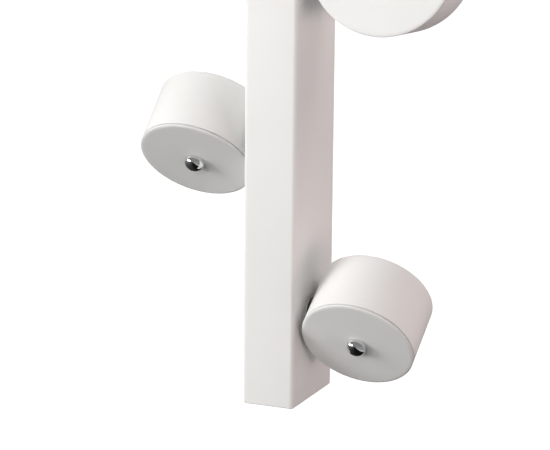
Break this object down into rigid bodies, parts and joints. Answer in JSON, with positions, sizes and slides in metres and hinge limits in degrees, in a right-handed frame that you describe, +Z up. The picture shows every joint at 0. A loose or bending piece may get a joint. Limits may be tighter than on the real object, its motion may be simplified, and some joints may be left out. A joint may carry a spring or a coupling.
{
  "type": "wall coat rack with swivelling drum pegs",
  "caption": "Slim upright rectangular post for a wall, with round drum pegs on alternate sides that swivel on a level axis to hang coats, hats and bags.",
  "frame": {"origin": "middle of the lower wall standoff's back face, on the wall plane", "axes": "+Z up along the post, +Y into the wall, -Y out to the front, +X to the rack's right seen from the front"},
  "size_m": [0.2648, 0.1075, 0.707],
  "materials": {
    "post_paint": "white satin powder coat",
    "drum_paint": "white satin powder coat",
    "cap_paint": "white satin powder coat",
    "dome_chrome": "polished",
    "zinc_steel": "zinc plated",
    "standoff_metal": "milled, satin",
    "white_plastic": "moulded, matt",
    "black_plastic": "moulded, matt",
    "nylon": "natural nylon"
  },
  "bodies": {
    "post": {"post_tube": "post_paint", "post_bottom_cap": "white_plastic", "post_top_cap": "white_plastic", "wall_standoff_lower": "standoff_metal", "wall_standoff_upper": "standoff_metal", "peg_1_friction_washer": "nylon", "peg_1_disc_spring": "zinc_steel", "peg_1_swivel_screw": "zinc_steel", "peg_1_pivot_nut": "zinc_steel", "peg_2_friction_washer": "nylon", "peg_2_disc_spring": "zinc_steel", "peg_2_swivel_screw": "zinc_steel", "peg_2_pivot_nut": "zinc_steel", "peg_3_friction_washer": "nylon", "peg_3_disc_spring": "zinc_steel", "peg_3_swivel_screw": "zinc_steel", "peg_3_pivot_nut": "zinc_steel", "peg_4_friction_washer": "nylon", "peg_4_disc_spring": "zinc_steel", "peg_4_swivel_screw": "zinc_steel", "peg_4_pivot_nut": "zinc_steel", "peg_5_friction_washer": "nylon", "peg_5_disc_spring": "zinc_steel", "peg_5_swivel_screw": "zinc_steel", "peg_5_pivot_nut": "zinc_steel"},
    "peg_1": {"peg_1_shell": "drum_paint", "peg_1_front_cap": "cap_paint", "peg_1_dome_nut": "dome_chrome", "peg_1_cap_stud": "zinc_steel", "peg_1_saddle": "black_plastic", "peg_1_inner_seat": "zinc_steel"},
    "peg_2": {"peg_2_shell": "drum_paint", "peg_2_front_cap": "cap_paint", "peg_2_dome_nut": "dome_chrome", "peg_2_cap_stud": "zinc_steel", "peg_2_saddle": "black_plastic", "peg_2_inner_seat": "zinc_steel"},
    "peg_3": {"peg_3_shell": "drum_paint", "peg_3_front_cap": "cap_paint", "peg_3_dome_nut": "dome_chrome", "peg_3_cap_stud": "zinc_steel", "peg_3_saddle": "black_plastic", "peg_3_inner_seat": "zinc_steel"},
    "peg_4": {"peg_4_shell": "drum_paint", "peg_4_front_cap": "cap_paint", "peg_4_dome_nut": "dome_chrome", "peg_4_cap_stud": "zinc_steel", "peg_4_saddle": "black_plastic", "peg_4_inner_seat": "zinc_steel"},
    "peg_5": {"peg_5_shell": "drum_paint", "peg_5_front_cap": "cap_paint", "peg_5_dome_nut": "dome_chrome", "peg_5_cap_stud": "zinc_steel", "peg_5_saddle": "black_plastic", "peg_5_inner_seat": "zinc_steel"}
  },
  "joints": [
    {"name": "peg_1_swivel", "type": "hinge", "parent": "post", "child": "peg_1", "pos_m": [0.0644, -0.061, -0.063], "axis": [1, 0, 0], "continuous": true},
    {"name": "peg_2_swivel", "type": "hinge", "parent": "post", "child": "peg_2", "pos_m": [-0.0644, -0.061, 0.063], "axis": [1, 0, 0], "continuous": true},
    {"name": "peg_3_swivel", "type": "hinge", "parent": "post", "child": "peg_3", "pos_m": [0.0774, -0.061, 0.1995], "axis": [1, 0, 0], "continuous": true},
    {"name": "peg_4_swivel", "type": "hinge", "parent": "post", "child": "peg_4", "pos_m": [-0.0774, -0.061, 0.35], "axis": [1, 0, 0], "continuous": true},
    {"name": "peg_5_swivel", "type": "hinge", "parent": "post", "child": "peg_5", "pos_m": [0.0774, -0.061, 0.501], "axis": [1, 0, 0], "continuous": true}
  ]
}
